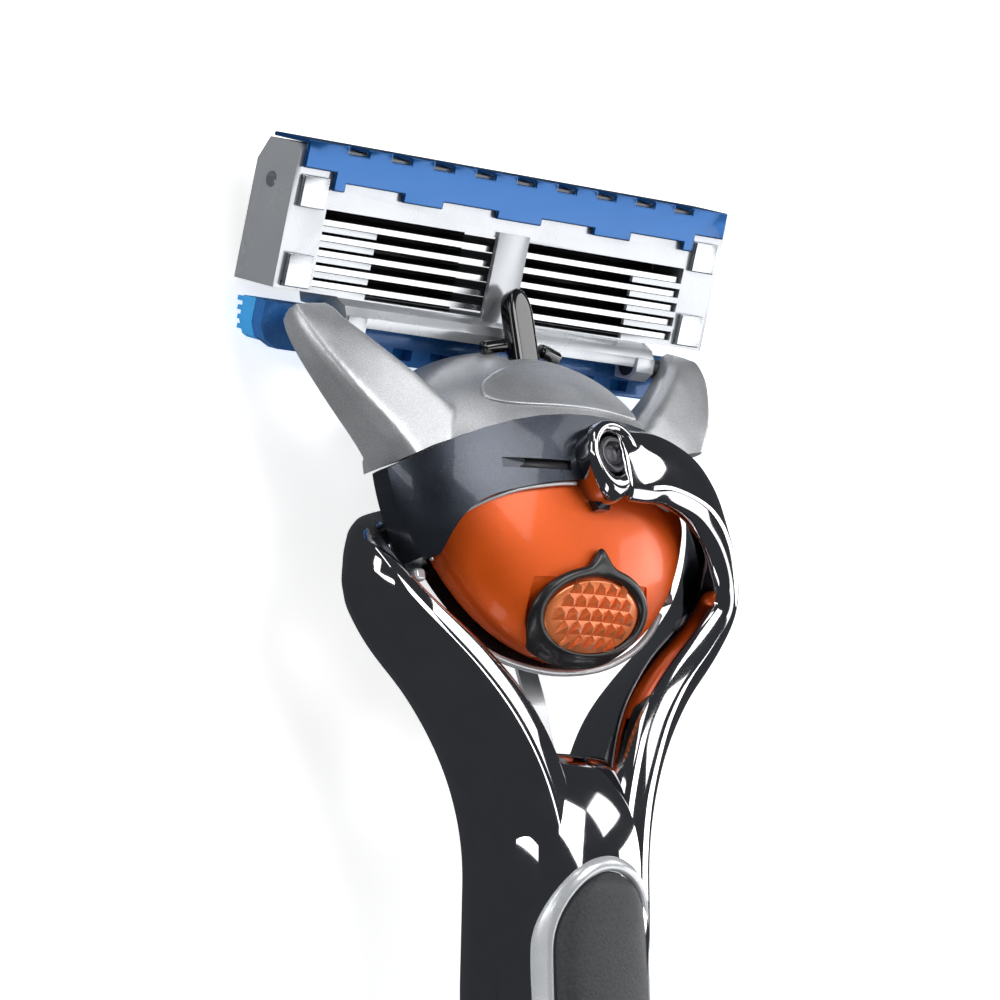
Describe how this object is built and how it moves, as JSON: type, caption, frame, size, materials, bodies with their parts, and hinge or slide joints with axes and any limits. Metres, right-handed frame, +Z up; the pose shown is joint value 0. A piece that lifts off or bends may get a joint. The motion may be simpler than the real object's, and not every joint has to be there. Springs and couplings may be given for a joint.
{
  "type": "cartridge razor",
  "caption": "Manual cartridge razor with a forked chrome handle, a swivelling ball head with a release button, and a pivoting blade cartridge with a rear trimmer.",
  "frame": {"origin": "bottom centre of the box that holds the razor as it lies on its back, button side up", "axes": "+Y along the handle towards the head, +Z up out of the button side, +X across the blades"},
  "size_m": [0.042, 0.1414, 0.019],
  "materials": {
    "housing_plastic": "satin silver moulding",
    "clip_metal": "bright strap",
    "comb_blue": "metallic blue lacquer",
    "blade_steel": "fine ground",
    "strip_plastic": "waxy",
    "guard_rubber": "soft matt",
    "carrier_blue": "moulded",
    "collar_black": "metallic black lacquer",
    "ball_orange": "metallic orange lacquer",
    "inner_plastic": "moulded",
    "plunger_black": "polished",
    "button_black": "soft touch",
    "pad_orange": "raised pyramids",
    "yoke_silver": "satin metallic lacquer",
    "pin_steel": "turned",
    "frame_chrome": "polished dark plating",
    "rim_silver": "satin silver",
    "grip_rubber": "fine stipple"
  },
  "bodies": {
    "frame": {"frame_front": "frame_chrome", "frame_rear": "frame_chrome", "grip_rim": "rim_silver", "grip_front": "grip_rubber", "grip_rear": "grip_rubber", "swivel_pin_front": "pin_steel", "swivel_pin_rear": "pin_steel", "tail_spring": "rim_silver", "balance_bar": "pin_steel", "end_cap": "frame_chrome"},
    "head": {"collar_front": "collar_black", "collar_rear": "collar_black", "ball_shell": "ball_orange", "ball_cup": "collar_black", "collar_catch_left": "rim_silver", "collar_catch_right": "rim_silver", "dock": "inner_plastic"},
    "plunger": {"plunger": "plunger_black"},
    "button": {"button_surround": "button_black", "button_pad": "pad_orange"},
    "yoke": {"yoke": "yoke_silver", "yoke_badge": "yoke_silver", "pivot_pin_left": "pin_steel", "pivot_pin_right": "pin_steel"},
    "cartridge": {"housing": "housing_plastic", "clip_left": "clip_metal", "clip_right": "clip_metal", "trimmer_comb": "comb_blue", "trimmer_blade": "blade_steel", "lubricating_strip": "strip_plastic", "guard_carrier": "carrier_blue", "guard_rubber": "guard_rubber"},
    "blade_1": {"blade_1": "blade_steel"},
    "blade_2": {"blade_2": "blade_steel"},
    "blade_3": {"blade_3": "blade_steel"},
    "blade_4": {"blade_4": "blade_steel"},
    "blade_5": {"blade_5": "blade_steel"}
  },
  "joints": [
    {"name": "ball_swivel", "type": "hinge", "parent": "frame", "child": "head", "pos_m": [0, 0.04829, 0.01007], "axis": [0, 0.2334, 0.9724], "range_deg": [-10, 10], "stiffness_Nm_per_rad": 0.04},
    {"name": "button_slide", "type": "slide", "parent": "head", "child": "button", "axis": [0, 0.9874, 0.1581], "range_m": [0, 0.0015], "stiffness_N_per_m": 400},
    {"name": "cartridge_release", "type": "slide", "parent": "head", "child": "yoke", "axis": [0, 0.9724, -0.2334], "range_m": [0, 0.02]},
    {"name": "cartridge_pivot", "type": "hinge", "parent": "yoke", "child": "cartridge", "pos_m": [0, 0.05814, 0.00454], "axis": [1, 0, 0], "range_deg": [0, 38], "stiffness_Nm_per_rad": 0.01},
    {"name": "plunger_slide", "type": "slide", "parent": "head", "child": "plunger", "axis": [0, -0.9724, 0.2334], "range_m": [0, 0.0035]},
    {"name": "blade_float_1", "type": "slide", "parent": "cartridge", "child": "blade_1", "axis": [0, -0.2504, 0.9681], "range_m": [0, 0.0002], "stiffness_N_per_m": 300},
    {"name": "blade_float_2", "type": "slide", "parent": "cartridge", "child": "blade_2", "axis": [0, -0.2504, 0.9681], "range_m": [0, 0.0002], "stiffness_N_per_m": 300},
    {"name": "blade_float_3", "type": "slide", "parent": "cartridge", "child": "blade_3", "axis": [0, -0.2504, 0.9681], "range_m": [0, 0.0002], "stiffness_N_per_m": 300},
    {"name": "blade_float_4", "type": "slide", "parent": "cartridge", "child": "blade_4", "axis": [0, -0.2504, 0.9681], "range_m": [0, 0.0002], "stiffness_N_per_m": 300},
    {"name": "blade_float_5", "type": "slide", "parent": "cartridge", "child": "blade_5", "axis": [0, -0.2504, 0.9681], "range_m": [0, 0.0002], "stiffness_N_per_m": 300}
  ],
  "couplings": [
    {"joint": "plunger_slide", "follows": "cartridge_pivot", "m_per_rad": 0.00487}
  ]
}
